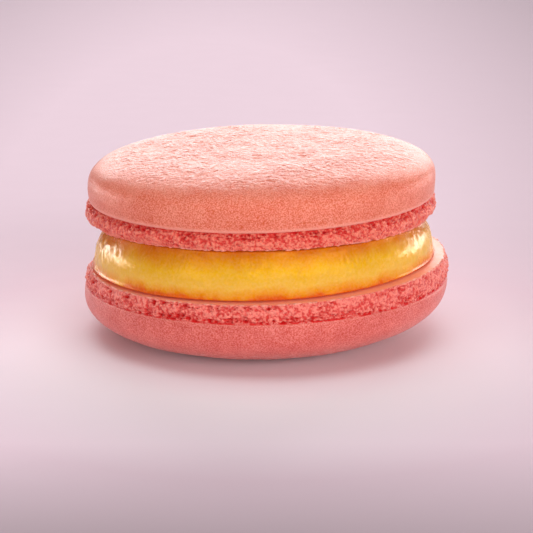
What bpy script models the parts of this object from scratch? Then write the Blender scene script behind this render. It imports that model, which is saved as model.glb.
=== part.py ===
"""French macaron: two baked almond-meringue shells with a soft yellow filling between them.

Each shell is one baked piece. It has a smooth domed cap, and under the cap's edge a crumbly band,
the foot, that ends at the flat side the shell was baked on. The lower shell lies crown down, the
filling sits on its flat side and bulges out, and the upper shell sits on the filling. Both shells
lean a little and are a little out of round, as in any hand-made sandwich.

Metres, +Z up. +X is the right side, -Y the front. The origin is under the middle of the macaron,
on the surface that it stands on. "Round the rim" means eight values at equal steps, from +X
counter-clockwise: right, back right, back, back left, left, front left, front, front right.
"""

import math
from dataclasses import dataclass

import bmesh
import bpy
import numpy as np
from mathutils import Matrix, Vector

MM = 0.001


@dataclass
class ShellSizes:
    """One shell in its own frame: height 0 is the cap's edge, the crown is up and the foot down."""

    name: str
    radius: float
    crown_height: float
    crown_shift: float
    fullness: float
    lip_height: float
    lip_tuck: float
    groove: float
    foot_height: np.ndarray
    foot_bulge: np.ndarray
    foot_recess: np.ndarray
    middle: tuple
    edge_height: float
    lean_right: float
    crown_down: bool
    seed: int


# ---- the two shells; the three foot_ sizes are round the rim
LOWER_SHELL = ShellSizes(
    name="lower_shell",
    radius=23.0 * MM,
    crown_height=7.5 * MM,
    crown_shift=-0.8 * MM,
    fullness=2.55,
    lip_height=0.7 * MM,
    lip_tuck=0.25 * MM,
    groove=0.5 * MM,
    foot_height=np.array((3.1, 2.85, 2.65, 2.4, 2.05, 2.2, 2.45, 2.8)) * MM,
    foot_bulge=np.array((0.2, 0.1, 0.0, 0.0, -0.05, 0.0, 0.0, 0.1)) * MM,
    foot_recess=np.array((0.4, 0.35, 0.35, 0.6, 1.0, 0.5, 0.3, 0.25)) * MM,
    middle=(0.08 * MM, 0.0),
    edge_height=7.05 * MM,
    lean_right=math.radians(-1.0),
    crown_down=True,
    seed=23,
)
UPPER_SHELL = ShellSizes(
    name="upper_shell",
    radius=21.85 * MM,
    crown_height=5.95 * MM,
    crown_shift=0.3 * MM,
    fullness=3.3,
    lip_height=1.4 * MM,
    lip_tuck=0.4 * MM,
    groove=0.7 * MM,
    foot_height=np.array((3.1, 3.1, 3.1, 3.3, 3.6, 2.5, 2.15, 2.5)) * MM,
    foot_bulge=np.array((0.05, 0.0, 0.0, 0.15, 0.45, 0.15, -0.1, -0.05)) * MM,
    foot_recess=np.array((1.3, 0.8, 0.9, 1.4, 2.0, 0.9, 0.4, 0.5)) * MM,
    middle=(-0.45 * MM, 0.0),
    edge_height=17.95 * MM,
    lean_right=math.radians(-1.4),
    crown_down=False,
    seed=11,
)

# ---- filling, round the rim: where it meets each shell, and how far its wall bulges
FILLING_TOP_RADIUS = np.array((20.4, 20.5, 20.5, 20.2, 19.7, 20.4, 20.9, 20.8)) * MM
FILLING_BOTTOM_RADIUS = np.array((20.8, 20.9, 20.8, 21.1, 21.3, 21.0, 20.4, 20.4)) * MM
FILLING_BULGE = np.array((0.9, 1.1, 1.2, 1.2, 1.1, 1.2, 1.1, 1.0)) * MM
FILLING_BULGE_PLACE = 0.58
FILLING_BULGE_FULLNESS = 0.75

# ---- how far the filling stays clear of the shells' flat sides
CONTACT_GAP = 0.3 * MM

# ---- unevenness of the baked edges
CAP_WAVE = 0.12 * MM
DOME_LUMP = 0.10 * MM
FOOT_WAVE = 0.10 * MM
FOOT_EDGE_WAVE = 0.07 * MM
FILLING_WAVE = 0.12 * MM

# ---- how finely the round pieces are divided
STEPS_ROUND = 96
DOME_RINGS = 9
WALL_RINGS = 6


def round_the_rim(values, angle):
    """Smooth closed curve through values at equal steps round the rim, read at the given angles."""
    count = len(values)
    place = np.mod(angle, 2 * math.pi) / (2 * math.pi) * count
    first = np.floor(place).astype(int)
    part = place - first
    before, here, after, beyond = (values[(first + step) % count] for step in (-1, 0, 1, 2))
    slope_here = (after - before) / 2
    slope_after = (beyond - here) / 2
    return (
        here * (1 + 2 * part) * (1 - part) ** 2
        + slope_here * part * (1 - part) ** 2
        + after * part ** 2 * (3 - 2 * part)
        + slope_after * part ** 2 * (part - 1)
    )


def waves(angle, seed, size, lowest=2, highest=7):
    """Gentle uneven wave round the rim, its slowest waves the largest."""
    random = np.random.default_rng(seed)
    height = np.zeros_like(angle)
    for count in range(lowest, highest + 1):
        share = random.uniform(0.4, 1.0) / count
        height += share * np.cos(count * angle + random.uniform(0, 2 * math.pi))
    return size * height


def ring(angle, radius, height):
    """Points of one ring; radius and height may each be one number or one value for each angle."""
    radius = np.broadcast_to(radius, angle.shape)
    height = np.broadcast_to(height, angle.shape)
    return np.stack((radius * np.cos(angle), radius * np.sin(angle), height), axis=1)


def foot_edge(shell, angle):
    """Height of the foot at each angle, from the cap's edge to the flat side's rim."""
    return round_the_rim(shell.foot_height, angle) + waves(angle, shell.seed + 1, FOOT_EDGE_WAVE, 4, 11)


def flat_side(shell, angle, out):
    """Height of the flat side: out is 0 in its middle and 1 at the filling's edge."""
    depth = foot_edge(shell, angle)
    middle = np.mean(shell.foot_height)
    return -(middle + (depth - middle) * out)


def shell_rings(shell, angle, contact_radius):
    """Rings of one shell in its own frame, from the crown over the cap, foot and flat side."""
    radius = shell.radius + waves(angle, shell.seed, CAP_WAVE)
    depth = foot_edge(shell, angle)
    recess = round_the_rim(shell.foot_recess, angle)
    bulge = round_the_rim(shell.foot_bulge, angle)
    foot_radius = radius + bulge + waves(angle, shell.seed + 2, FOOT_WAVE, 5, 13)
    rings = []
    for step in range(1, DOME_RINGS + 1):
        turn = math.pi / 2 * step / DOME_RINGS
        out = math.sin(turn) ** (2 / shell.fullness)
        rise = max(math.cos(turn), 0.0) ** (2 / shell.fullness)
        lump = waves(angle, shell.seed + 3, DOME_LUMP) * out * rise
        height = shell.lip_height + (shell.crown_height - shell.lip_height) * rise + lump
        rings.append(ring(angle, radius * out, height) + np.array((shell.crown_shift * rise, 0, 0)))
    rings.append(ring(angle, radius - 0.3 * shell.lip_tuck, 0.45 * shell.lip_height))
    rings.append(ring(angle, radius - shell.lip_tuck, 0.0))
    rings.append(ring(angle, radius - shell.lip_tuck - shell.groove, -0.12 * depth))
    rings.append(ring(angle, foot_radius - 0.2 * shell.groove, -0.32 * depth))
    rings.append(ring(angle, foot_radius, -0.62 * depth))
    rings.append(ring(angle, radius - recess, -depth))
    rings.append(ring(angle, contact_radius, -depth))
    rings.append(ring(angle, 0.5 * contact_radius, flat_side(shell, angle, 0.5)))
    return rings


def turned_over(points):
    """The same points with their heights reversed, for the shell that lies crown down."""
    return np.asarray(points) * np.array((1.0, 1.0, -1.0))


def place_of(shell):
    """Where a shell stands: the middle of its cap's edge, and its lean about the Y axis."""
    middle = Matrix.Translation(Vector((*shell.middle, shell.edge_height)))
    return middle @ Matrix.Rotation(shell.lean_right, 4, "Y")


def in_place(shell, points):
    """Points of a shell's own frame, where the shell stands."""
    if shell.crown_down:
        points = turned_over(points)
    matrix = place_of(shell)
    return points @ np.array(matrix.to_3x3()).T + np.array(matrix.translation)


def mesh_from_rings(name, rings, top_point, bottom_point):
    """Closed mesh from rings of points, top to bottom, each counter-clockwise seen from above."""
    shape = bmesh.new()
    rows = [[shape.verts.new(point) for point in points] for points in rings]
    top = shape.verts.new(top_point)
    bottom = shape.verts.new(bottom_point)
    steps = len(rows[0])
    for here in range(steps):
        there = (here + 1) % steps
        shape.faces.new((top, rows[0][here], rows[0][there]))
        shape.faces.new((bottom, rows[-1][there], rows[-1][here]))
        for upper, lower in zip(rows, rows[1:]):
            shape.faces.new((upper[here], lower[here], lower[there], upper[there]))
    mesh = bpy.data.meshes.new(name)
    shape.to_mesh(mesh)
    shape.free()
    return mesh


def make_material(name, colour, roughness, specular):
    material = bpy.data.materials.new(name)
    material.use_nodes = True
    shader = material.node_tree.nodes["Principled BSDF"]
    shader.inputs["Base Color"].default_value = (*colour, 1.0)
    shader.inputs["Roughness"].default_value = roughness
    shader.inputs["Metallic"].default_value = 0.0
    shader.inputs["Specular IOR Level"].default_value = specular
    return material


def make_piece(name, mesh, material, sharp_angle):
    """Object of a finished mesh, shaded smooth but for its sharp edges."""
    mesh.materials.append(material)
    mesh.shade_smooth()
    mesh.set_sharp_from_angle(angle=sharp_angle)
    piece = bpy.data.objects.new(name, mesh)
    bpy.context.scene.collection.objects.link(piece)
    return piece


def make_shell(shell, material, angle, contact_radius):
    rings = shell_rings(shell, angle, contact_radius)
    crown = np.array((shell.crown_shift, 0.0, shell.crown_height))
    flat_middle = np.array((0.0, 0.0, -np.mean(shell.foot_height)))
    if shell.crown_down:
        rings = [turned_over(points) for points in reversed(rings)]
        mesh = mesh_from_rings(shell.name, rings, turned_over(flat_middle), turned_over(crown))
    else:
        mesh = mesh_from_rings(shell.name, rings, crown, flat_middle)
    piece = make_piece(shell.name, mesh, material, math.radians(40))
    piece.matrix_world = place_of(shell)
    return piece


def cut_rest_flat(piece):
    """Cuts the crown off level with height 0, which leaves a small flat spot to rest on."""
    shape = bmesh.new()
    shape.from_mesh(piece.data)
    to_piece = piece.matrix_world.inverted()
    ground = to_piece @ Vector((0, 0, 0))
    down = (to_piece.to_3x3() @ Vector((0, 0, -1))).normalized()
    everything = shape.verts[:] + shape.edges[:] + shape.faces[:]
    cut = bmesh.ops.bisect_plane(
        shape, geom=everything, dist=1e-7, plane_co=ground, plane_no=down, clear_outer=True
    )
    border = [item for item in cut["geom_cut"] if isinstance(item, bmesh.types.BMEdge)]
    bmesh.ops.contextual_create(shape, geom=border)
    for edge in border:
        edge.smooth = False
    bmesh.ops.recalc_face_normals(shape, faces=shape.faces)
    shape.to_mesh(piece.data)
    shape.free()


def make_filling(material, angle):
    """Soft filling between the flat sides, its wall bulging outwards between its two edges."""
    top_radius = round_the_rim(FILLING_TOP_RADIUS, angle)
    bottom_radius = round_the_rim(FILLING_BOTTOM_RADIUS, angle)
    bulge = round_the_rim(FILLING_BULGE, angle) + waves(angle, UPPER_SHELL.seed + 4, FILLING_WAVE)
    outward = ring(angle, 1.0, 0.0)

    def against(shell, radius, out):
        height = flat_side(shell, angle, out) - CONTACT_GAP
        return in_place(shell, ring(angle, radius * out, height))

    top_edge = against(UPPER_SHELL, top_radius, 1.0)
    bottom_edge = against(LOWER_SHELL, bottom_radius, 1.0)
    rings = [against(UPPER_SHELL, top_radius, 0.5), top_edge]
    lean = math.log(0.5) / math.log(FILLING_BULGE_PLACE)
    for step in range(1, WALL_RINGS):
        down = step / WALL_RINGS
        swell = math.sin(math.pi * down ** lean) ** FILLING_BULGE_FULLNESS
        rings.append(top_edge * (1 - down) + bottom_edge * down + outward * (bulge * swell)[:, None])
    rings += [bottom_edge, against(LOWER_SHELL, bottom_radius, 0.5)]
    middles = [
        in_place(shell, np.array((0.0, 0.0, -np.mean(shell.foot_height) - CONTACT_GAP)))
        for shell in (UPPER_SHELL, LOWER_SHELL)
    ]
    return make_piece("filling", mesh_from_rings("filling", rings, *middles), material, math.radians(60))


def centre_over_origin(pieces):
    """Hangs the pieces on one empty, placed so that the macaron's box is centred over the origin."""
    bpy.context.view_layer.update()
    points = [piece.matrix_world @ vertex.co for piece in pieces for vertex in piece.data.vertices]
    middle_x = (min(point.x for point in points) + max(point.x for point in points)) / 2
    middle_y = (min(point.y for point in points) + max(point.y for point in points)) / 2
    holder = bpy.data.objects.new("macaron", None)
    bpy.context.scene.collection.objects.link(holder)
    for piece in pieces:
        piece.parent = holder
    holder.location = (-middle_x, -middle_y, 0.0)
    bpy.context.view_layer.update()


def build():
    for thing in list(bpy.data.objects):
        bpy.data.objects.remove(thing, do_unlink=True)
    shell_material = make_material("baked_almond_shell", (0.76, 0.22, 0.17), 0.85, 0.3)
    filling_material = make_material("yellow_filling", (0.80, 0.42, 0.06), 0.35, 0.5)
    angle = np.arange(STEPS_ROUND) * 2 * math.pi / STEPS_ROUND
    lower = make_shell(LOWER_SHELL, shell_material, angle, round_the_rim(FILLING_BOTTOM_RADIUS, angle))
    cut_rest_flat(lower)
    filling = make_filling(filling_material, angle)
    upper = make_shell(UPPER_SHELL, shell_material, angle, round_the_rim(FILLING_TOP_RADIUS, angle))
    centre_over_origin([lower, filling, upper])


build()
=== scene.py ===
import math
from dataclasses import dataclass

import bpy
import numpy as np
from mathutils import Matrix, Vector, noise


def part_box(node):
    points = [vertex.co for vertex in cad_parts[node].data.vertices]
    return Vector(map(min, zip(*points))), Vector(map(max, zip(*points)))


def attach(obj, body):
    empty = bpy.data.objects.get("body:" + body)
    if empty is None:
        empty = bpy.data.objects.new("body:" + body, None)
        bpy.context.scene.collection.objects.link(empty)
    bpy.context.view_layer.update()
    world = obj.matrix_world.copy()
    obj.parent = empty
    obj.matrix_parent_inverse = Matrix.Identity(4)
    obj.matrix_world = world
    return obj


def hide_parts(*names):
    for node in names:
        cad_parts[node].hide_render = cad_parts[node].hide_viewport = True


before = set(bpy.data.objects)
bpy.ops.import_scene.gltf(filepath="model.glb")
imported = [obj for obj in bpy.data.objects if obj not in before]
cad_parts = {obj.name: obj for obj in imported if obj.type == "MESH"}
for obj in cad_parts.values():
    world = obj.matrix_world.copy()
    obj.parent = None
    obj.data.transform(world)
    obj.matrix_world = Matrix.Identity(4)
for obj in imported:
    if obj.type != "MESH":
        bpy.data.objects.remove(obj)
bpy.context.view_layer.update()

# ---- Lower shell ----------------------------------------------------------------------------
# The wider of two biscuits of whipped egg white, sugar and ground almonds, piped as a round and
# lying crown down. The cap is the skin that dried before baking. The foot is the crumb that rose
# out from under that skin in the oven. It carries the filling on its flat side.
MM = 0.001
STEPS_ROUND = 1024
DOME_STEP = 0.22 * MM
CAP_WAVE = 0.12 * MM
DOME_LUMP = 0.10 * MM
FOOT_WAVE = 0.10 * MM
FOOT_EDGE_WAVE = 0.07 * MM
CRUMB_ROOM = 0.08 * MM
DOME_SAMPLES = 2000
DOME_END = 0.96
FLAT_RIM_WIDTH = 0.45 * MM
UNDER_FILLING = 0.4 * MM


@dataclass
class ShellShape:
    """One shell in its own frame: height 0 is the cap's edge, the crown is up and the foot down.

    foot_height, foot_bulge, foot_recess and filling_edge are eight values round the rim, from the
    right side counter-clockwise seen from above.
    """

    radius: float
    crown_height: float
    crown_shift: float
    fullness: float
    lip_height: float
    lip_tuck: float
    groove: float
    foot_height: np.ndarray
    foot_bulge: np.ndarray
    foot_recess: np.ndarray
    filling_edge: np.ndarray
    middle_x: float
    edge_height: float
    lean_right: float
    crown_down: bool
    seed: int


def round_the_rim(values, angle):
    """Smooth closed curve through values at equal steps round the rim, read at the given angles."""
    count = len(values)
    place = np.mod(angle, 2 * math.pi) / (2 * math.pi) * count
    first = np.floor(place).astype(int)
    part = place - first
    before, here, after, beyond = (values[(first + step) % count] for step in (-1, 0, 1, 2))
    slope_here = (after - before) / 2
    slope_after = (beyond - here) / 2
    return (
        here * (1 + 2 * part) * (1 - part) ** 2
        + slope_here * part * (1 - part) ** 2
        + after * part**2 * (3 - 2 * part)
        + slope_after * part**2 * (part - 1)
    )


def waves(angle, seed, size, lowest=2, highest=7):
    """Gentle uneven wave round the rim, its slowest waves the largest."""
    random = np.random.default_rng(seed)
    height = np.zeros_like(angle)
    for count in range(lowest, highest + 1):
        share = random.uniform(0.4, 1.0) / count
        height += share * np.cos(count * angle + random.uniform(0, 2 * math.pi))
    return size * height


def ease(value, start, end):
    """0 before start, 1 after end, and a soft step between them."""
    part = np.clip((value - start) / (end - start), 0, 1)
    return part * part * (3 - 2 * part)


def ring(angle, radius, height, way):
    """Points of one ring, and as a fourth number how far along the piece's own outline they are."""
    points = np.broadcast_arrays(radius * np.cos(angle), radius * np.sin(angle), height, way)
    return np.stack(points, axis=1)


def filled_in(guides, steps, softness):
    """Rings between the guide rings, so many to each gap, with the corners at the guides softened."""
    rings = []
    for here, there, count in zip(guides, guides[1:], steps):
        rings += [here + (there - here) * part / count for part in range(count)]
    rings = np.array(rings + [guides[-1]])
    for _ in range(softness):
        rings[1:-1] = (rings[:-2] + 2 * rings[1:-1] + rings[2:]) / 4
    return list(rings)


def foot_depth(shape, angle):
    """How far the flat side's rim lies below the cap's edge, at the given angles."""
    return round_the_rim(shape.foot_height, angle) + waves(angle, shape.seed + 1, FOOT_EDGE_WAVE, 4, 11)


def flat_side(shape, depth, out):
    """Height of the flat side: out is 0 in its middle and 1 at the filling's edge."""
    middle = np.mean(shape.foot_height)
    return -(middle + (depth - middle) * out)


def shell_rings(shape):
    """Rings over a smooth shell. Way is 0 at the crown, 1 at the cap's edge, 2 at the flat side's rim
    and 3 in the flat side's middle. Towards the two middles the rings have fewer points.
    """
    angle = np.arange(STEPS_ROUND) * 2 * math.pi / STEPS_ROUND
    radius = shape.radius + waves(angle, shape.seed, CAP_WAVE)
    depth = foot_depth(shape, angle)
    foot = radius + round_the_rim(shape.foot_bulge, angle) + waves(angle, shape.seed + 2, FOOT_WAVE, 5, 13)
    foot -= CRUMB_ROOM
    rim = radius - round_the_rim(shape.foot_recess, angle)
    lump = waves(angle, shape.seed + 3, DOME_LUMP)
    inside = round_the_rim(shape.filling_edge, angle) - UNDER_FILLING
    lip, tuck, groove = shape.lip_height, shape.lip_tuck, shape.groove

    turn = np.linspace(0, math.pi / 2, DOME_SAMPLES)
    out = np.sin(turn) ** (2 / shape.fullness)
    rise = np.cos(turn) ** (2 / shape.fullness)
    run = np.hypot(np.diff(out * shape.radius), np.diff(rise * (shape.crown_height - lip)))
    run = np.concatenate(([0], np.cumsum(run)))
    stops = np.linspace(0, run[-1], round(run[-1] / DOME_STEP) + 1)[1:-1]
    outs, rises, ways = np.interp(stops, run, out), np.interp(stops, run, rise), stops / run[-1]
    rings = []
    for out_here, rise_here, way in zip(outs, rises, ways):
        every = 8 if out_here < 0.25 else 4 if out_here < 0.5 else 2
        height = lip + (shape.crown_height - lip + lump * out_here) * rise_here
        points = ring(angle, radius * out_here, height, DOME_END * way)
        rings.append((points + (shape.crown_shift * rise_here, 0, 0, 0))[::every])
    rings += filled_in(
        [
            ring(angle, radius, lip, DOME_END),
            ring(angle, radius - 0.2 * tuck, 0.45 * lip, 0.98),
            ring(angle, radius - 0.5 * tuck, 0.05 * MM, 0.995),
            ring(angle, radius - tuck, -0.01 * depth, 1.01),
            ring(angle, radius - tuck - 0.4 * groove, -0.06 * depth, 1.06),
            ring(angle, foot - 0.35 * groove, -0.2 * depth, 1.2),
            ring(angle, foot, -0.6 * depth, 1.6),
            ring(angle, rim + 0.25 * (foot - rim), -0.92 * depth, 1.92),
            ring(angle, rim, -depth, 2.0),
            ring(angle, rim - FLAT_RIM_WIDTH, -depth, 2.1),
            ring(angle, inside, -depth, 2.3),
        ],
        steps=(3, 3, 2, 3, 5, 9, 8, 3, 4, 4),
        softness=2,
    )
    for every, out_here in ((2, 0.9), (4, 0.6), (8, 0.25)):
        height = flat_side(shape, depth, out_here)
        rings.append(ring(angle, inside * out_here, height, 3 - 0.7 * out_here)[::every])
    ends = [(shape.crown_shift, 0, shape.crown_height, 0), (0, 0, -np.mean(shape.foot_height), 3)]
    return rings, np.array(ends)


def stood_up(shape, rings, ends):
    """The rings of one shell, top first, where the shell stands, leaning a little."""
    if shape.crown_down:
        turned = np.array((1, 1, -1, 1))
        rings, ends = [points * turned for points in reversed(rings)], ends[::-1] * turned
    lean = np.array(Matrix.Rotation(shape.lean_right, 3, "Y"))
    place = np.array((shape.middle_x, 0, shape.edge_height))

    def moved(points):
        return np.concatenate((points[:, :3] @ lean.T + place, points[:, 3:]), axis=1)

    return [moved(points) for points in rings], moved(ends)


def fitted(node, rings, ends):
    """The rings moved and stretched, by a hair, to fill the box of the frame's own node."""
    everything = np.concatenate(rings + [ends])[:, :3]
    low, high = everything.min(axis=0), everything.max(axis=0)
    box_low, box_high = (np.array(corner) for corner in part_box(node))
    scale = (box_high - box_low) / (high - low)

    def moved(points):
        return np.concatenate((box_low + (points[:, :3] - low) * scale, points[:, 3:]), axis=1)

    return [moved(points) for points in rings], moved(ends)


def mesh_of_rings(name, rings, ends):
    """Closed smooth piece from rings, top first, each counter-clockwise seen from above, and the two
    points that close it. A ring may have half or twice as many points as the one next to it.
    """
    starts = np.cumsum([0] + [len(points) for points in rings])
    top, bottom = int(starts[-1]), int(starts[-1]) + 1
    faces = []
    for first, above, below in zip(starts.tolist(), rings, rings[1:]):
        second = first + len(above)
        for here in range(min(len(above), len(below))):
            there = (here + 1) % min(len(above), len(below))
            if len(above) == len(below):
                faces.append((first + here, second + here, second + there, first + there))
            elif len(above) > len(below):
                left, middle, right = (first + (2 * here + step) % len(above) for step in range(3))
                faces.append((left, second + here, middle))
                faces.append((middle, second + here, second + there, right))
            else:
                left, middle, right = (second + (2 * here + step) % len(below) for step in range(3))
                faces.append((first + here, left, middle))
                faces.append((first + here, middle, right, first + there))
    for here in range(len(rings[0])):
        faces.append((top, here, (here + 1) % len(rings[0])))
    last = int(starts[-2])
    for here in range(len(rings[-1])):
        faces.append((bottom, last + (here + 1) % len(rings[-1]), last + here))
    points = np.concatenate(rings + [ends])
    mesh = bpy.data.meshes.new(name)
    mesh.from_pydata(points[:, :3].tolist(), [], faces)
    mesh.shade_smooth()
    piece = bpy.data.objects.new(name, mesh)
    bpy.context.scene.collection.objects.link(piece)
    return piece, points[:, 3]


def points_of(piece):
    points = np.empty(len(piece.data.vertices) * 3, np.float32)
    piece.data.vertices.foreach_get("co", points)
    return points.reshape(-1, 3).astype(float)


def set_points(piece, points):
    piece.data.vertices.foreach_set("co", points.astype(np.float32).ravel())
    piece.data.update()


def push_out(piece, amount):
    """Moves each point of a piece outwards, square to its surface, by its own amount in metres."""
    outward = np.empty(len(piece.data.vertices) * 3, np.float32)
    piece.data.vertex_normals.foreach_get("vector", outward)
    set_points(piece, points_of(piece) + outward.reshape(-1, 3) * amount[:, None])


def mark(piece, name, values):
    """Writes one number for each point, which the material reads by name."""
    marks = piece.data.attributes.new(name, "FLOAT", "POINT").data
    marks.foreach_set("value", values.astype(np.float32))


def lumps(points, size, seed):
    """Soft rounded unevenness from about -1 to 1, whose lumps are about as wide as size."""
    return 1.5 * np.array([noise.noise(point) for point in points / size + 11.3 * seed])


def nearest_grain(points, size, seed):
    """How far the nearest of many scattered grains is, as a share of size."""
    return np.array([noise.voronoi(point)[0][0] for point in points / size + 5.9 * seed])


def burst_bubbles(points, spacing, share, seed):
    """Depth from 0 to 1 of round pits about spacing apart, of which only this share is there."""
    depth = np.zeros(len(points))
    for index, point in enumerate(points / spacing + 7.7 * seed):
        away, middles = noise.voronoi(point)
        chance = noise.cell(middles[0] * 31.7)
        width = 0.38 + 0.16 * noise.cell(middles[0] * 17.3)
        if chance < 2 * share - 1:
            depth[index] = max(0.0, 1 - (away[0] / width) ** 2) ** 0.6
    return depth


CAP_SWELL_WIDTH = 6 * MM
CAP_SWELL = 0.05 * MM
PEEL_WIDTH = 0.75 * MM
SMALL_PEEL_WIDTH = 0.42 * MM
PEEL_HEIGHT = 0.07 * MM
FINE_WIDTH = 0.4 * MM
FINE_HEIGHT = 0.005 * MM
CLUMP_WIDTH = 1.1 * MM
CLUMP_HEIGHT = 0.1 * MM
GRAIN_WIDTH = 0.4 * MM
GRAIN_HEIGHT = 0.14 * MM
CRUMB_WIDTH = 0.26 * MM
CRUMB_HEIGHT = 0.08 * MM
BUBBLE_SPACING = 0.9 * MM
SMALL_BUBBLE_SPACING = 0.45 * MM
BUBBLE_DEPTH = 0.42 * MM
CAP_CRUST_HEIGHT = 0.03 * MM
RIM_CRUST_HEIGHT = 0.1 * MM
FLAT_SWELL = 0.02 * MM
FLAT_FINE_HEIGHT = 0.008 * MM


def bake(piece, way, shape, peel, cap_line, low_pits, high_pits):
    """Gives a smooth shell its baked surface: a faintly lumpy cap, and a torn, bubbly foot.

    peel is how strong the cap's orange-peel lumps are, and cap_line the dry crust along its edge;
    low_pits and high_pits are how thickly the burst bubbles lie by the cap and by the flat side.
    """
    points = points_of(piece)
    foot = ease(way, 1.01, 1.12) * (1 - ease(way, 1.97, 2.02))
    flat = ease(way, 1.97, 2.03)
    cap = 1 - ease(way, 0.97, 1.0)
    stretched = points * (1, 1, 1.7)

    # the cap: broad unevenness, and orange peel that fades down the side
    top = 1 - ease(way, 0.66, 0.86)
    rough = lumps(points, PEEL_WIDTH, shape.seed) + 0.6 * lumps(points, SMALL_PEEL_WIDTH, shape.seed + 1)
    patchy = np.clip(0.9 + 0.35 * lumps(points, 4 * MM, shape.seed + 2), 0.4, 1.3)
    broad = lumps(points, CAP_SWELL_WIDTH, shape.seed + 3)
    fine = lumps(points, FINE_WIDTH, shape.seed + 4)
    amount = cap * (peel * (top * patchy * PEEL_HEIGHT * rough + FINE_HEIGHT * fine) + CAP_SWELL * broad)

    # the foot: grains stuck together in uneven clumps, and burst bubbles in rows
    clumps = lumps(stretched, CLUMP_WIDTH, shape.seed + 5)
    away = nearest_grain(points, GRAIN_WIDTH, shape.seed + 8)
    grain = 1 - ease(away, 0.2, 0.8)
    calm = ease(lumps(stretched, 2.4 * MM, shape.seed + 6), 0.0, 0.7)
    small_crumbs = CRUMB_HEIGHT * lumps(points, CRUMB_WIDTH, shape.seed + 7)
    crumbs = CLUMP_HEIGHT * clumps + (1 - 0.4 * calm) * (GRAIN_HEIGHT * (grain - 0.5) + small_crumbs)
    by_cap = 1 - ease(way, 1.2, 1.5)
    by_flat_side = ease(way, 1.6, 1.75) * (1 - ease(way, 1.88, 1.95))
    patches = 0.28 + 0.5 * lumps(stretched, 1.9 * MM, shape.seed + 9) - 0.3 * calm
    thickly = low_pits * by_cap + high_pits * by_flat_side + patches
    pits = np.maximum(
        burst_bubbles(stretched, BUBBLE_SPACING, 0.85, shape.seed),
        0.8 * burst_bubbles(stretched, SMALL_BUBBLE_SPACING, 0.75, shape.seed + 1),
    )
    pits = pits * ease(thickly, 0.45, 0.9) * foot
    amount += foot * crumbs - BUBBLE_DEPTH * pits

    # the thin dry crusts along the cap's edge and the flat side's rim
    cap_crust = cap_line * ease(way, 0.982, 0.992) * (1 - ease(way, 0.998, 1.008))
    rim_crust = ease(way, 1.92, 1.97) * (1 - ease(way, 2.0, 2.04))
    dashes = ease(lumps(points, 0.6 * MM, shape.seed + 10), -0.4, 0.4)
    amount += CAP_CRUST_HEIGHT * cap_crust + RIM_CRUST_HEIGHT * rim_crust * dashes
    amount += flat * (FLAT_SWELL * lumps(points, 1.4 * MM, shape.seed + 11) + FLAT_FINE_HEIGHT * fine)
    push_out(piece, amount)

    # painted shade: the crevice just under the cap's edge is marked to be painted deep red
    crevice_shade = ease(way, 1.0, 1.02) * (1 - ease(way, 1.06, 1.14)) * ease(clumps + fine, 0.5, -0.4)
    mark(piece, "foot", foot)
    mark(piece, "flat", flat)
    mark(piece, "top", cap * top * patchy)
    # painted shade, deep red, in the burst bubbles and in the crevice under the cap's edge
    mark(piece, "pit_shade", np.clip(1.5 * pits + 0.9 * crevice_shade, 0, 1))
    # painted light on the foot: a painted highlight on the raised grains and clumps, painted shade deeper
    # red in the creases between them, and paler towards the flat side's rim
    paleness = 0.15 + 0.8 * grain + 0.4 * clumps + 0.2 * calm + 0.35 * (way - 1.5)
    mark(piece, "lit_crumb", np.clip(paleness, 0, 1))
    mark(piece, "crust", np.clip(cap_crust + rim_crust * dashes, 0, 1))
    # marks the top's raised lumps, where the material paints a highlight
    mark(piece, "peel", np.clip(0.5 + 0.5 * cap * top * rough, 0, 1))


def rest_flat(piece):
    """Flattens what would reach below the surface that the macaron stands on."""
    points = points_of(piece)
    points[:, 2] = np.maximum(points[:, 2], 0)
    set_points(piece, points)


def shade(red, green, blue):
    """A colour as the screen shows it, 0 to 255, turned into the light values that a shader takes."""
    parts = [value / 255 for value in (red, green, blue)]
    return (*(p / 12.92 if p <= 0.04045 else ((p + 0.055) / 1.055) ** 2.4 for p in parts), 1.0)


def put(tree, kind, inputs=None, **settings):
    """Adds a node to a material or group. Each input is a plain value, or the socket that feeds it."""
    made = tree.nodes.new(kind)
    for name, value in settings.items():
        setattr(made, name, value)
    for name, value in (inputs or {}).items():
        if isinstance(value, bpy.types.NodeSocket):
            tree.links.new(value, made.inputs[name])
        else:
            made.inputs[name].default_value = value
    return made


def blend_colour(tree, share, first, second):
    """Colour that goes from first to second as share goes from 0 to 1."""
    return put(tree, "ShaderNodeMix", {0: share, 6: first, 7: second}, data_type="RGBA").outputs[2]


def spread(tree, value, low, high, to_low=0.0, to_high=1.0):
    """A value from low to high turned into one from to_low to to_high, and kept inside."""
    made = put(
        tree,
        "ShaderNodeMapRange",
        {"Value": value, "From Min": low, "From Max": high, "To Min": to_low, "To Max": to_high},
    )
    return made.outputs["Result"]


def read_mark(tree, name):
    return put(tree, "ShaderNodeAttribute", attribute_name=name).outputs["Fac"]


def reckon(tree, kind, first, second):
    """One number from two by plain arithmetic: kind is ADD, SUBTRACT or MULTIPLY."""
    return put(tree, "ShaderNodeMath", {0: first, 1: second}, operation=kind).outputs[0]


def start_group(name, values, results):
    """Empty node group with named number inputs, and named results with their kinds."""
    group = bpy.data.node_groups.new(name, "ShaderNodeTree")
    for value in values:
        group.interface.new_socket(value, in_out="INPUT", socket_type="NodeSocketFloat")
    for result, kind in results.items():
        group.interface.new_socket(result, in_out="OUTPUT", socket_type=kind)
    return group, put(group, "NodeGroupInput"), put(group, "NodeGroupOutput")


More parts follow.
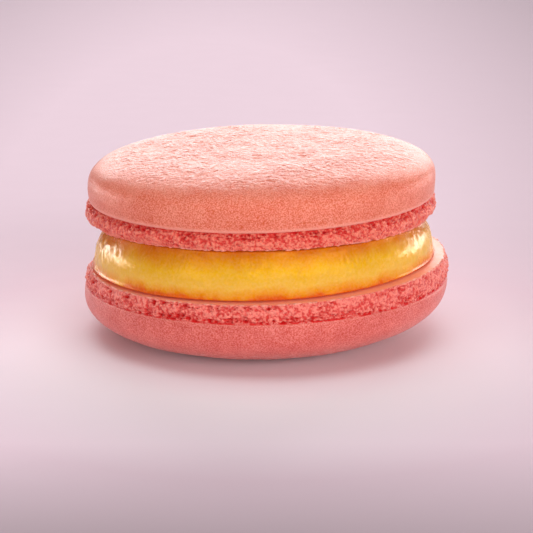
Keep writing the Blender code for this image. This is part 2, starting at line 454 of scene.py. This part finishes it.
def almond_grain_group():
    """Ground almond and sugar under the skin: fine height for a bump, and small darker specks."""
    number = "NodeSocketFloat"
    group, given, result = start_group("almond_grain", ("Scale",), {"Height": number, "Speck": number})
    place = put(group, "ShaderNodeTexCoord").outputs["Object"]
    fine = put(
        group, "ShaderNodeTexNoise", {"Vector": place, "Scale": given.outputs["Scale"], "Detail": 2.0}
    ).outputs["Fac"]
    grains = put(
        group, "ShaderNodeTexVoronoi", {"Vector": place, "Scale": given.outputs["Scale"]}
    ).outputs["Distance"]
    both = reckon(group, "SUBTRACT", fine, grains)
    group.links.new(spread(group, both, -0.5, 0.6), result.inputs["Height"])
    group.links.new(spread(group, fine, 0.36, 0.64), result.inputs["Speck"])
    return group


def blotches_group():
    """Slow change of colour over a surface: a soft mask from 0 to 1."""
    group, given, result = start_group("soft_blotches", ("Scale",), {"Mask": "NodeSocketFloat"})
    place = put(group, "ShaderNodeTexCoord").outputs["Object"]
    cloud = put(
        group,
        "ShaderNodeTexNoise",
        {"Vector": place, "Scale": given.outputs["Scale"], "Detail": 4.0, "Roughness": 0.6},
    )
    group.links.new(spread(group, cloud.outputs["Fac"], 0.32, 0.68), result.inputs["Mask"])
    return group


almond_grain = almond_grain_group()
soft_blotches = blotches_group()


def grain_of(tree, scale):
    made = put(tree, "ShaderNodeGroup", node_tree=almond_grain)
    made.inputs["Scale"].default_value = scale
    return made.outputs["Height"], made.outputs["Speck"]


def blotches_of(tree, scale):
    made = put(tree, "ShaderNodeGroup", node_tree=soft_blotches)
    made.inputs["Scale"].default_value = scale
    return made.outputs["Mask"]


GRAIN_SCALE = 6000
CAP_BLOTCH_SCALE = 330
GLOSS_BLOTCH_SCALE = 700
TORN_SCALE = 3400.0
PEEL_SCALE = 2300.0
RELIEF_HEIGHT = 0.32 * MM
GRAIN_RELIEF = 0.05 * MM
# painted highlight for the raised orange-peel lumps of the top
PEEL_HIGHLIGHT = shade(250, 190, 178)


def shell_material(name, cap, cap_pale, foot, foot_pale, pit_shade, crust, flat):
    """Baked meringue: dry, matt and grainy, redder in the torn foot. Its colour carries painted light:
    painted shade, deep red, in the foot's pits and in the crevice under the cap's edge, and painted
    highlights on the foot's raised grains and on the top's raised lumps.
    """
    material = bpy.data.materials.new(name)
    material.use_nodes = True
    tree = material.node_tree
    shader = tree.nodes["Principled BSDF"]
    grain_height, speck = grain_of(tree, GRAIN_SCALE)
    colour = blend_colour(tree, blotches_of(tree, CAP_BLOTCH_SCALE), cap, cap_pale)
    # painted highlight: the top's raised lumps turn paler
    highlighted = spread(tree, read_mark(tree, "peel"), 0.45, 1.0, 0.0, 0.4)
    colour = blend_colour(tree, highlighted, colour, PEEL_HIGHLIGHT)
    deeper = put(tree, "ShaderNodeHueSaturation", {"Saturation": 1.1, "Value": 0.85, "Color": colour})
    paler = put(tree, "ShaderNodeHueSaturation", {"Saturation": 0.9, "Value": 1.1, "Color": colour})
    colour = blend_colour(tree, speck, deeper.outputs["Color"], paler.outputs["Color"])
    place = put(tree, "ShaderNodeTexCoord").outputs["Object"]
    torn_noise = put(tree, "ShaderNodeTexNoise", {"Vector": place, "Scale": TORN_SCALE, "Detail": 2.0})
    torn = spread(tree, torn_noise.outputs["Fac"], 0.34, 0.66)
    # the foot's crumbs: a random torn tone, with painted highlights on the raised grains and painted shade
    # in the creases
    uneven = reckon(tree, "ADD", torn, read_mark(tree, "lit_crumb"))
    lit_crumb = blend_colour(tree, spread(tree, uneven, 0.55, 1.5), foot, foot_pale)
    colour = blend_colour(tree, read_mark(tree, "foot"), colour, lit_crumb)
    colour = blend_colour(tree, read_mark(tree, "flat"), colour, flat)
    # painted shade, deep red, in the pits and in the crevice under the cap's edge
    colour = blend_colour(tree, read_mark(tree, "pit_shade"), colour, pit_shade)
    colour = blend_colour(tree, spread(tree, read_mark(tree, "crust"), 0, 1, 0, 0.8), colour, crust)
    peel_noise = put(tree, "ShaderNodeTexNoise", {"Vector": place, "Scale": PEEL_SCALE, "Detail": 1.0})
    cap_relief = reckon(tree, "MULTIPLY", peel_noise.outputs["Fac"], read_mark(tree, "top"))
    foot_relief = reckon(tree, "MULTIPLY", torn, read_mark(tree, "foot"))
    relief = put(tree, "ShaderNodeMath", {0: foot_relief, 1: 0.3, 2: cap_relief}, operation="MULTIPLY_ADD")
    coarse = put(
        tree,
        "ShaderNodeBump",
        {"Height": relief.outputs[0], "Strength": 1.0, "Distance": RELIEF_HEIGHT},
    )
    grainy = put(
        tree,
        "ShaderNodeBump",
        {
            "Height": grain_height,
            "Strength": 0.6,
            "Distance": GRAIN_RELIEF,
            "Normal": coarse.outputs["Normal"],
        },
    )
    gloss = spread(tree, blotches_of(tree, GLOSS_BLOTCH_SCALE), 0, 1, 0.36, 0.46)
    tree.links.new(colour, shader.inputs["Base Color"])
    tree.links.new(grainy.outputs["Normal"], shader.inputs["Normal"])
    tree.links.new(gloss, shader.inputs["Roughness"])
    shader.inputs["Specular IOR Level"].default_value = 0.5
    shader.inputs["Specular Tint"].default_value = (1.0, 0.4, 0.3, 1.0)
    shader.inputs["Subsurface Weight"].default_value = 0.2
    shader.inputs["Subsurface Radius"].default_value = (1.0, 0.25, 0.15)
    shader.inputs["Subsurface Scale"].default_value = 1.5 * MM
    shader.inputs["Sheen Weight"].default_value = 0.1
    shader.inputs["Sheen Roughness"].default_value = 0.45
    return material


LOWER_SHAPE = ShellShape(
    radius=23.0 * MM,
    crown_height=7.5 * MM,
    crown_shift=-0.8 * MM,
    fullness=2.55,
    lip_height=0.5 * MM,
    lip_tuck=0.1 * MM,
    groove=0.2 * MM,
    foot_height=np.array((3.1, 2.85, 2.65, 2.4, 2.05, 2.2, 2.45, 2.8)) * MM,
    foot_bulge=np.array((0.2, 0.1, 0.0, 0.0, -0.05, 0.0, 0.0, 0.1)) * MM,
    foot_recess=np.array((0.4, 0.35, 0.35, 0.6, 1.0, 0.5, 0.3, 0.25)) * MM,
    filling_edge=np.array((20.8, 20.9, 20.8, 21.1, 21.3, 21.0, 20.4, 20.4)) * MM,
    middle_x=0.08 * MM,
    edge_height=7.05 * MM,
    lean_right=math.radians(-1.0),
    crown_down=True,
    seed=23,
)
rings, ends = stood_up(LOWER_SHAPE, *shell_rings(LOWER_SHAPE))
for points in rings + [ends]:
    points[:, 2] = np.maximum(points[:, 2], 0)
lower_shell, way = mesh_of_rings("lower_biscuit", *fitted("lower_shell", rings, ends))
bake(lower_shell, way, LOWER_SHAPE, peel=0.5, cap_line=0.15, low_pits=0.85, high_pits=0.5)
rest_flat(lower_shell)
lower_shell.data.materials.append(
    shell_material(
        "coral_meringue_lower",
        # The lower cap's colours are darker than the upper's: painted shade, for the side that faces down,
        # away from the lamps.
        cap=shade(213, 90, 82),
        cap_pale=shade(227, 112, 102),
        # the foot's crease colour, deep with painted shade, and its pale end, a painted highlight on the
        # raised grains
        foot=shade(222, 60, 56),
        foot_pale=shade(255, 142, 127),
        # painted shade for the pits and the crevice under the cap's edge
        pit_shade=shade(216, 18, 24),
        crust=shade(252, 176, 152),
        # painted light: the flat side's ledge is brighter and more orange, for light thrown back from the
        # filling and to lift the shade under its bulge
        flat=shade(255, 148, 108),
    )
)
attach(lower_shell, "root")
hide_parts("lower_shell")

# ---- Filling --------------------------------------------------------------------------------
# A thick round of yellow fruit curd and butter cream, piped on the lower shell's flat side and
# pressed down by the upper shell, so that its moist wall bulges between the two.
WALL_RINGS = 40
FILLING_BULGE = np.array((1.2, 1.1, 1.2, 1.2, 1.3, 1.2, 1.1, 1.1)) * MM
FILLING_BULGE_PLACE = np.array((0.52, 0.6, 0.6, 0.6, 0.5, 0.6, 0.66, 0.64))
FILLING_BULGE_FULLNESS = 0.75
FILLING_PRESS = 0.95 * MM
FILLING_SPREAD = 0.25 * MM
FILLING_WAVE = 0.12 * MM
WALL_TAPER = 0.6
CURD_SWELL_WIDTH = 3.5 * MM
CURD_SWELL = 0.05 * MM
CURD_LUMP_WIDTH = 1.3 * MM
CURD_LUMP = 0.02 * MM
CURD_FINE_WIDTH = 0.5 * MM
CURD_FINE = 0.012 * MM
STRIPE_WIDTH = 0.32 * MM
STRIPE_HEIGHT = 0.022 * MM
DRAG_WIDTH = 0.7 * MM
DRAG_HEIGHT = 0.05 * MM
FROTH_SPACING = 0.5 * MM
FROTH_HEIGHT = 0.05 * MM
UPPER_SHAPE = ShellShape(
    radius=21.85 * MM,
    crown_height=5.95 * MM,
    crown_shift=0.3 * MM,
    fullness=3.3,
    lip_height=1.4 * MM,
    lip_tuck=0.35 * MM,
    groove=0.55 * MM,
    foot_height=np.array((3.1, 3.1, 3.1, 3.3, 3.6, 2.5, 2.15, 2.5)) * MM,
    foot_bulge=np.array((0.05, 0.0, 0.0, 0.15, 0.45, 0.15, -0.1, -0.05)) * MM,
    foot_recess=np.array((1.3, 0.8, 0.9, 1.4, 2.0, 0.9, 0.4, 0.5)) * MM,
    filling_edge=np.array((20.4, 20.5, 20.5, 20.2, 19.7, 20.4, 20.9, 20.8)) * MM,
    middle_x=-0.45 * MM,
    edge_height=17.95 * MM,
    lean_right=math.radians(-1.4),
    crown_down=False,
    seed=11,
)


def against(shape, angle, out, fall):
    """Ring of the filling where it lies against a shell's flat side; out is 1 at its wall."""
    depth = foot_depth(shape, angle)
    height = flat_side(shape, depth, out)
    points = ring(angle, round_the_rim(shape.filling_edge, angle) * out, height, fall)
    (points,), _ = stood_up(shape, [points], np.zeros((2, 4)))
    return points


angle = np.arange(STEPS_ROUND) * 2 * math.pi / STEPS_ROUND
bulge = round_the_rim(FILLING_BULGE, angle) + waves(angle, UPPER_SHAPE.seed + 4, FILLING_WAVE)
top_edge = against(UPPER_SHAPE, angle, 1.0, 0.0)
bottom_edge = against(LOWER_SHAPE, angle, 1.0, 1.0)
skew = math.log(0.5) / np.log(round_the_rim(FILLING_BULGE_PLACE, angle))
rings = [against(UPPER_SHAPE, angle, out, 0.0)[::every] for every, out in ((8, 0.3), (4, 0.6), (2, 0.9))]
for down in np.linspace(0, 1, WALL_RINGS + 1):
    swollen = bulge * np.maximum(np.sin(math.pi * down**skew), 0) ** FILLING_BULGE_FULLNESS
    swollen = swollen * (1 - WALL_TAPER * down) + FILLING_PRESS * down**2 + FILLING_SPREAD * down**14
    rings.append(top_edge * (1 - down) + bottom_edge * down + ring(angle, swollen, 0.0, 0.0))
rings += [against(LOWER_SHAPE, angle, out, 1.0)[::every] for every, out in ((2, 0.9), (4, 0.6), (8, 0.3))]
ends = np.array([rings[0].mean(axis=0), rings[-1].mean(axis=0)])
filling, fall = mesh_of_rings("yellow_curd", *fitted("filling", rings, ends))

# its wall: soft lumps all round, upright ripples on the right front, slanting drags and froth at
# the left, and one small patch of froth in front; turn is in degrees, -90 in front
points = points_of(filling)
turn = np.degrees(np.arctan2(points[:, 1], points[:, 0]))
wall = ease(fall, 0.02, 0.12) * (1 - ease(fall, 0.9, 0.98))
left = ease(np.abs(turn), 140, 165)
upright = points * (1, 1, 0.3)
slanting = upright + points[:, 2:] * (0.7, 0.0, 0.0)
right_front = ease(turn, -92, -80) * (1 - ease(turn, -54, -42))
rippled = right_front * ease(fall, 0.12, 0.3) * (1 - ease(fall, 0.55, 0.75))
front_patch = np.exp(-(((turn + 96) / 5) ** 2)) * np.exp(-(((fall - 0.28) / 0.12) ** 2))
froth = np.clip(left * (1 - ease(fall, 0.3, 0.45)) + front_patch, 0, 1)
amount = CURD_SWELL * lumps(points, CURD_SWELL_WIDTH, 3) + CURD_LUMP * lumps(points, CURD_LUMP_WIDTH, 4)
amount += CURD_FINE * lumps(points, CURD_FINE_WIDTH, 5)
amount += rippled * STRIPE_HEIGHT * lumps(upright, STRIPE_WIDTH, 6)
amount += left * DRAG_HEIGHT * lumps(slanting, DRAG_WIDTH, 7)
amount += froth * FROTH_HEIGHT * burst_bubbles(points, FROTH_SPACING, 0.5, 8)
push_out(filling, amount * wall)
mark(filling, "fall", fall)

CURD_CLOUD_SCALE = 260
CURD_GRAIN_SCALE = 3000
CURD_GLOSS_SCALE = 500
CURD_RELIEF = 0.03 * MM
FALL_END = 1.08


def curd_material():
    """Fruit curd: moist, softly glossy and a little see-through. Down its wall the colour is partly its
    own and partly painted light: painted shade, deep orange, at the top under the upper shell and at the
    bottom by the ledge, and a paler painted lit band in the lower middle.
    """
    material = bpy.data.materials.new("yellow_curd")
    material.use_nodes = True
    tree = material.node_tree
    shader = tree.nodes["Principled BSDF"]
    wander = reckon(tree, "MULTIPLY", blotches_of(tree, CURD_CLOUD_SCALE), 0.16)
    height = reckon(tree, "ADD", read_mark(tree, "fall"), wander)
    ramp = put(tree, "ShaderNodeValToRGB")
    # painted light down the wall: painted shade, deep orange, at the top and at the bottom, and a paler
    # painted lit band in the lower middle
    stops = (
        (0.0, shade(204, 92, 0)),
        (0.22, shade(220, 132, 0)),
        (0.5, shade(233, 174, 22)),
        (0.8, shade(238, 184, 66)),
        (0.97, shade(234, 150, 16)),
        (1.06, shade(222, 92, 6)),
    )
    while len(ramp.color_ramp.elements) < len(stops):
        ramp.color_ramp.elements.new(0.5)
    for element, (place, colour) in zip(ramp.color_ramp.elements, stops):
        element.position = place / FALL_END
        element.color = colour
    tree.links.new(spread(tree, height, 0, FALL_END), ramp.inputs["Fac"])
    fine, speck = grain_of(tree, CURD_GRAIN_SCALE)
    curd_with_painted_light = ramp.outputs["Color"]
    paler = put(tree, "ShaderNodeHueSaturation", {"Saturation": 0.82, "Value": 1.06, "Color": curd_with_painted_light})
    colour = blend_colour(tree, spread(tree, speck, 0, 1, 0, 0.25), curd_with_painted_light, paler.outputs["Color"])
    bump = put(tree, "ShaderNodeBump", {"Height": fine, "Strength": 0.3, "Distance": CURD_RELIEF})
    gloss = spread(tree, blotches_of(tree, CURD_GLOSS_SCALE), 0, 1, 0.18, 0.34)
    tree.links.new(colour, shader.inputs["Base Color"])
    tree.links.new(bump.outputs["Normal"], shader.inputs["Normal"])
    tree.links.new(gloss, shader.inputs["Roughness"])
    shader.inputs["Specular IOR Level"].default_value = 0.5
    shader.inputs["Specular Tint"].default_value = (1.0, 0.5, 0.05, 1.0)
    shader.inputs["Subsurface Weight"].default_value = 0.2
    shader.inputs["Subsurface Radius"].default_value = (1.0, 0.6, 0.15)
    shader.inputs["Subsurface Scale"].default_value = 2.0 * MM
    return material


filling.data.materials.append(curd_material())
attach(filling, "root")
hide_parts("filling")

# ---- Upper shell ----------------------------------------------------------------------------
# The second biscuit, a little narrower and flatter on top, laid crown up on the filling. Its cap
# is rougher than the lower one's, and its foot is torn just under the cap's edge.
upper_shell, way = mesh_of_rings(
    "upper_biscuit", *fitted("upper_shell", *stood_up(UPPER_SHAPE, *shell_rings(UPPER_SHAPE)))
)
bake(upper_shell, way, UPPER_SHAPE, peel=1.0, cap_line=1.0, low_pits=0.8, high_pits=0.2)
upper_shell.data.materials.append(
    shell_material(
        "coral_meringue_upper",
        cap=shade(229, 113, 86),
        cap_pale=shade(239, 134, 108),
        # the foot's crease colour, deep with painted shade, and its pale end, a painted highlight on the
        # raised grains
        foot=shade(222, 58, 52),
        foot_pale=shade(254, 138, 116),
        # painted shade for the pits and the crevice under the cap's edge
        pit_shade=shade(216, 18, 24),
        crust=shade(248, 166, 148),
        flat=shade(236, 104, 80),
    )
)
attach(upper_shell, "root")
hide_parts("upper_shell")

# ---- Table and backdrop ---------------------------------------------------------------------
# One long sheet of pale pink paper, lying under the macaron and curving up behind it. Its tone carries
# painted light: painted shade towards the front edge and out at the sides, and a painted pool of light
# right round the macaron, which lightens its cast shadow.
SHEET_WIDTH = 6.0
SHEET_FRONT = -1.2
CURVE_START = 2.6
CURVE_RADIUS = 0.35
WALL_HEIGHT = 1.6

outline = [(SHEET_FRONT, 0.0), (CURVE_START, 0.0)]
for part in np.linspace(0, math.pi / 2, 13)[1:]:
    outline.append((CURVE_START + CURVE_RADIUS * math.sin(part), CURVE_RADIUS * (1 - math.cos(part))))
outline.append((CURVE_START + CURVE_RADIUS, WALL_HEIGHT))
paper_points = [(side * SHEET_WIDTH / 2, y, z) for y, z in outline for side in (-1, 1)]
paper_faces = [(2 * step, 2 * step + 1, 2 * step + 3, 2 * step + 2) for step in range(len(outline) - 1)]
paper_mesh = bpy.data.meshes.new("paper")
paper_mesh.from_pydata(paper_points, [], paper_faces)
paper_mesh.shade_smooth()
paper = bpy.data.objects.new("paper", paper_mesh)
bpy.context.scene.collection.objects.link(paper)
paper_material = bpy.data.materials.new("pale_pink_paper")
paper_material.use_nodes = True
tree = paper_material.node_tree
shader = tree.nodes["Principled BSDF"]
fibre = put(tree, "ShaderNodeTexNoise", {"Scale": 900.0, "Detail": 3.0})
tone = blend_colour(tree, fibre.outputs["Fac"], shade(240, 213, 225), shade(243, 216, 228))
place = put(tree, "ShaderNodeTexCoord").outputs["Object"]
from_front = put(tree, "ShaderNodeSeparateXYZ", {"Vector": place})
# painted shade: darker towards the front edge
painted_front_shade = spread(tree, from_front.outputs["Y"], -0.078, -0.045)
tone = blend_colour(tree, painted_front_shade, shade(168, 149, 156), tone)
# painted light: paler right round the macaron, which lightens its cast shadow
away = put(tree, "ShaderNodeVectorMath", {0: place, 1: (0.0, -0.012, 0.0)}, operation="DISTANCE")
painted_light_round = spread(tree, away.outputs["Value"], 0.045, 0.02)
tone = blend_colour(tree, painted_light_round, tone, shade(244, 234, 240))
# painted shade: darker out at the sides
oval = put(
    tree,
    "ShaderNodeMapping",
    {"Vector": place, "Location": (0.17, -0.24, 0.0), "Scale": (14.0, 3.0, 0.0)},
)
painted_side_shade = put(tree, "ShaderNodeVectorMath", {0: oval.outputs["Vector"]}, operation="LENGTH")
tone = blend_colour(tree, spread(tree, painted_side_shade.outputs["Value"], 0.45, 1.3), tone, shade(190, 168, 178))
tree.links.new(tone, shader.inputs["Base Color"])
shader.inputs["Roughness"].default_value = 0.9
shader.inputs["Specular IOR Level"].default_value = 0.1
paper.data.materials.append(paper_material)

# ---- Lamps, camera and film -----------------------------------------------------------------
# Six white soft boxes: a broad one behind, which gives the pale rims, a low thin one at each side,
# which lights the filling's ends, one overhead, and two in front. The camera looks down a little
# from the front with a long lens.
LOOK_AT = Vector((0.0, 0.0, 8.2 * MM))
CAMERA_AWAY = 0.300
CAMERA_RISE = math.radians(14.8)
CAMERA_LENS = 159.0


def soft_box(name, place, width, height, power):
    lamp = bpy.data.lights.new(name, "AREA")
    lamp.shape = "RECTANGLE"
    lamp.size, lamp.size_y = width, height
    lamp.energy = power
    holder = bpy.data.objects.new(name, lamp)
    holder.location = place
    holder.rotation_euler = (LOOK_AT - holder.location).to_track_quat("-Z", "Y").to_euler()
    holder.visible_camera = False
    bpy.context.scene.collection.objects.link(holder)


soft_box("back_box", Vector((0.15, 2.0, 0.70)), 1.9, 1.1, 38)
soft_box("left_box", Vector((-0.9, 0.55, 0.05)), 0.8, 0.1, 3.2)
soft_box("right_box", Vector((0.9, 0.55, 0.05)), 0.8, 0.1, 3.4)
soft_box("top_box", Vector((0.0, -0.1, 1.0)), 0.9, 0.9, 5.2)
soft_box("front_box", Vector((0.5, -0.9, 0.31)), 1.3, 0.4, 8.6)
soft_box("fill_box", Vector((-0.75, -0.7, 0.22)), 0.5, 0.4, 2.0)

world = bpy.data.worlds.new("studio")
world.use_nodes = True
background = world.node_tree.nodes["Background"]
background.inputs["Color"].default_value = (1.0, 1.0, 1.0, 1.0)
background.inputs["Strength"].default_value = 0.08
bpy.context.scene.world = world

camera = bpy.data.objects.new("camera", bpy.data.cameras.new("camera"))
camera.data.sensor_width = 36.0
camera.data.lens = CAMERA_LENS
camera.data.clip_start = 0.01
camera.location = LOOK_AT + CAMERA_AWAY * Vector((0.0, -math.cos(CAMERA_RISE), math.sin(CAMERA_RISE)))
camera.rotation_euler = (LOOK_AT - camera.location).to_track_quat("-Z", "Y").to_euler()
bpy.context.scene.collection.objects.link(camera)
bpy.context.scene.camera = camera
bpy.context.scene.view_settings.view_transform = "Standard"
